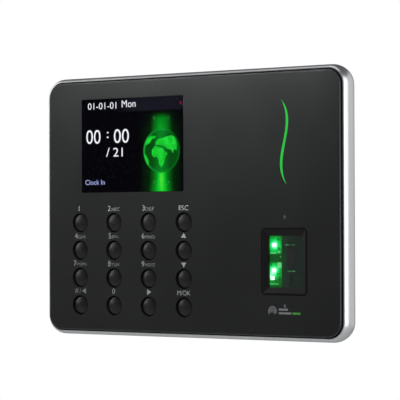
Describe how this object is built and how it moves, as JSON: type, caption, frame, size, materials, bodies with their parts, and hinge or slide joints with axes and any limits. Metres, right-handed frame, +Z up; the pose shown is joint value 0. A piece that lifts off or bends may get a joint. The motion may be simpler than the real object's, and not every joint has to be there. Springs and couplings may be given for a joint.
{
  "type": "fingerprint scanner terminal",
  "caption": "Wall-hung fingerprint time and access terminal with a colour display, a round-key keypad, a lit S-shaped indicator and an optical fingerprint reader.",
  "frame": {"origin": "on the wall, at the wall plate's back face behind the middle of the case", "axes": "+X to the right of someone facing the terminal, +Y into the wall, +Z up"},
  "size_m": [0.164, 0.031, 0.1204],
  "materials": {
    "plate_steel": "zinc plated, satin",
    "screw_steel": "satin",
    "cover_black": "moulded, semi-gloss",
    "trim_silver": "satin silver",
    "case_black": "fine moulded texture",
    "insert_brass": "turned",
    "label_foil": "blank silver foil label",
    "lens_clear": "clear acrylic",
    "lcd_glass": "dark polarised glass",
    "frame_steel": "pressed steel",
    "flex_film": "polyimide film",
    "mat_silicone": "moulded silicone",
    "board_green": "solder mask",
    "chip_epoxy": "epoxy",
    "shield_tin": "tinned",
    "cell_steel": "polished",
    "socket_black": "moulded",
    "header_white": "moulded nylon",
    "key_black": "satin",
    "bezel_black": "semi-gloss",
    "window_glass": "clear glass",
    "prism_glass": "clear glass",
    "led_green": "lit green",
    "lead_sheath": "PVC sheath",
    "guide_green": "clear tinted acrylic, lit",
    "speaker_black": "steel basket, paper cone"
  },
  "bodies": {
    "wall_plate": {"wall_plate": "plate_steel"},
    "security_screw": {"security_screw": "screw_steel"},
    "housing": {"board_chips": "chip_epoxy", "board_headers": "header_white", "board_screws": "screw_steel", "board_switches": "socket_black", "case_screws": "screw_steel", "cell_holder": "socket_black", "coin_cell": "cell_steel", "dc_jack": "socket_black", "display_lens": "lens_clear", "front_cover": "cover_black", "indicator_board": "board_green", "indicator_leads": "lead_sheath", "indicator_leds": "led_green", "keypad_board": "board_green", "keypad_flex": "flex_film", "keypad_mat": "mat_silicone", "lan_jack": "shield_tin", "lcd_flex": "flex_film", "lcd_frame": "frame_steel", "lcd_glass": "lcd_glass", "light_guide": "guide_green", "main_board": "board_green", "rating_label": "label_foil", "rear_cover": "case_black", "screw_insert": "insert_brass", "sensor_bezel": "bezel_black", "sensor_cable": "lead_sheath", "sensor_camera_board": "board_green", "sensor_housing": "case_black", "sensor_led_board": "board_green", "sensor_leds": "led_green", "sensor_lens_barrel": "socket_black", "sensor_prism": "prism_glass", "sensor_window": "window_glass", "speaker": "speaker_black", "speaker_leads": "lead_sheath", "tamper_spring": "screw_steel", "trim_frame": "trim_silver", "usb_port": "shield_tin", "wifi_module": "shield_tin"},
    "key_1": {"key_1": "key_black"},
    "key_2": {"key_2": "key_black"},
    "key_3": {"key_3": "key_black"},
    "key_esc": {"key_esc": "key_black"},
    "key_4": {"key_4": "key_black"},
    "key_5": {"key_5": "key_black"},
    "key_6": {"key_6": "key_black"},
    "key_up": {"key_up": "key_black"},
    "key_7": {"key_7": "key_black"},
    "key_8": {"key_8": "key_black"},
    "key_9": {"key_9": "key_black"},
    "key_down": {"key_down": "key_black"},
    "key_left": {"key_left": "key_black"},
    "key_0": {"key_0": "key_black"},
    "key_right": {"key_right": "key_black"},
    "key_ok": {"key_ok": "key_black"},
    "reset_button": {"reset_button": "socket_black"},
    "tamper_plunger": {"tamper_plunger": "header_white"}
  },
  "joints": [
    {"name": "housing_lift", "type": "slide", "parent": "wall_plate", "child": "housing", "axis": [0, 0, 1], "range_m": [0, 0.007]},
    {"name": "security_screw_out", "type": "slide", "parent": "wall_plate", "child": "security_screw", "axis": [0, 0, -1], "range_m": [0, 0.012]},
    {"name": "key_1_press", "type": "slide", "parent": "housing", "child": "key_1", "axis": [0, 1, 0], "range_m": [0, 0.001], "stiffness_N_per_m": 1200, "deforming": ["keypad_mat"]},
    {"name": "key_2_press", "type": "slide", "parent": "housing", "child": "key_2", "axis": [0, 1, 0], "range_m": [0, 0.001], "stiffness_N_per_m": 1200, "deforming": ["keypad_mat"]},
    {"name": "key_3_press", "type": "slide", "parent": "housing", "child": "key_3", "axis": [0, 1, 0], "range_m": [0, 0.001], "stiffness_N_per_m": 1200, "deforming": ["keypad_mat"]},
    {"name": "key_esc_press", "type": "slide", "parent": "housing", "child": "key_esc", "axis": [0, 1, 0], "range_m": [0, 0.001], "stiffness_N_per_m": 1200, "deforming": ["keypad_mat"]},
    {"name": "key_4_press", "type": "slide", "parent": "housing", "child": "key_4", "axis": [0, 1, 0], "range_m": [0, 0.001], "stiffness_N_per_m": 1200, "deforming": ["keypad_mat"]},
    {"name": "key_5_press", "type": "slide", "parent": "housing", "child": "key_5", "axis": [0, 1, 0], "range_m": [0, 0.001], "stiffness_N_per_m": 1200, "deforming": ["keypad_mat"]},
    {"name": "key_6_press", "type": "slide", "parent": "housing", "child": "key_6", "axis": [0, 1, 0], "range_m": [0, 0.001], "stiffness_N_per_m": 1200, "deforming": ["keypad_mat"]},
    {"name": "key_up_press", "type": "slide", "parent": "housing", "child": "key_up", "axis": [0, 1, 0], "range_m": [0, 0.001], "stiffness_N_per_m": 1200, "deforming": ["keypad_mat"]},
    {"name": "key_7_press", "type": "slide", "parent": "housing", "child": "key_7", "axis": [0, 1, 0], "range_m": [0, 0.001], "stiffness_N_per_m": 1200, "deforming": ["keypad_mat"]},
    {"name": "key_8_press", "type": "slide", "parent": "housing", "child": "key_8", "axis": [0, 1, 0], "range_m": [0, 0.001], "stiffness_N_per_m": 1200, "deforming": ["keypad_mat"]},
    {"name": "key_9_press", "type": "slide", "parent": "housing", "child": "key_9", "axis": [0, 1, 0], "range_m": [0, 0.001], "stiffness_N_per_m": 1200, "deforming": ["keypad_mat"]},
    {"name": "key_down_press", "type": "slide", "parent": "housing", "child": "key_down", "axis": [0, 1, 0], "range_m": [0, 0.001], "stiffness_N_per_m": 1200, "deforming": ["keypad_mat"]},
    {"name": "key_left_press", "type": "slide", "parent": "housing", "child": "key_left", "axis": [0, 1, 0], "range_m": [0, 0.001], "stiffness_N_per_m": 1200, "deforming": ["keypad_mat"]},
    {"name": "key_0_press", "type": "slide", "parent": "housing", "child": "key_0", "axis": [0, 1, 0], "range_m": [0, 0.001], "stiffness_N_per_m": 1200, "deforming": ["keypad_mat"]},
    {"name": "key_right_press", "type": "slide", "parent": "housing", "child": "key_right", "axis": [0, 1, 0], "range_m": [0, 0.001], "stiffness_N_per_m": 1200, "deforming": ["keypad_mat"]},
    {"name": "key_ok_press", "type": "slide", "parent": "housing", "child": "key_ok", "axis": [0, 1, 0], "range_m": [0, 0.001], "stiffness_N_per_m": 1200, "deforming": ["keypad_mat"]},
    {"name": "reset_press", "type": "slide", "parent": "housing", "child": "reset_button", "axis": [0, -1, 0], "range_m": [0, 0.001], "stiffness_N_per_m": 1200},
    {"name": "tamper_travel", "type": "slide", "parent": "housing", "child": "tamper_plunger", "axis": [0, 1, 0], "range_m": [-0.0006, 0.0015], "stiffness_N_per_m": 300, "deforming": ["tamper_spring"]}
  ]
}
